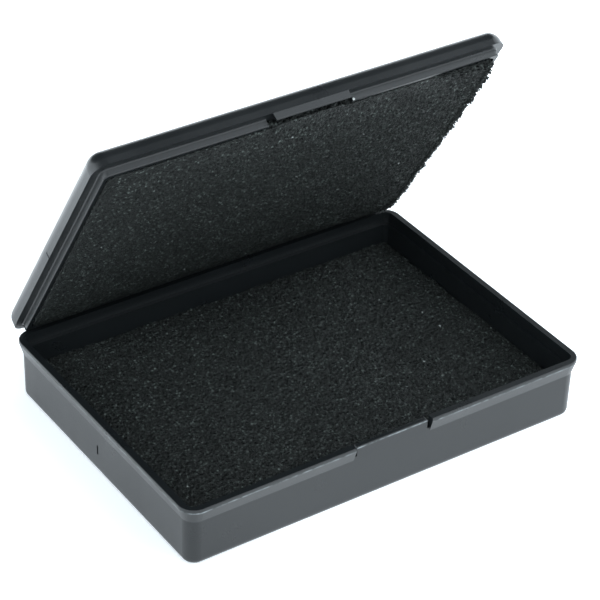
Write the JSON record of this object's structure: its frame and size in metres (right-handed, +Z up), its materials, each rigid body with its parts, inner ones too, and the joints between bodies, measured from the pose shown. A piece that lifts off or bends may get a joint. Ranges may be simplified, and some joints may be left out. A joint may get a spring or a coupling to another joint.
{
  "type": "ink pad",
  "caption": "Shallow hinged plastic case with rounded corners and a flared rim, holding a flat open-cell foam sheet in the base and a second one in the lid.",
  "frame": {"origin": "centre of the underside of the base, on the surface the case stands on", "axes": "+X right along the front edge, +Y from the front towards the hinge, +Z up"},
  "size_m": [0.118, 0.0882, 0.0916],
  "materials": {
    "case_plastic": "satin",
    "foam": "matte"
  },
  "bodies": {
    "base": {"base_tray": "case_plastic", "base_foam": "foam", "hinge_web": "case_plastic"},
    "lid": {"lid_shell": "case_plastic", "lid_foam": "foam"}
  },
  "joints": [
    {"name": "lid_hinge", "type": "hinge", "parent": "base", "child": "lid", "pos_m": [0, 0.0429, 0.01785], "axis": [-1, 0, 0], "range_deg": [-58, 122], "deforming": ["hinge_web"]}
  ]
}
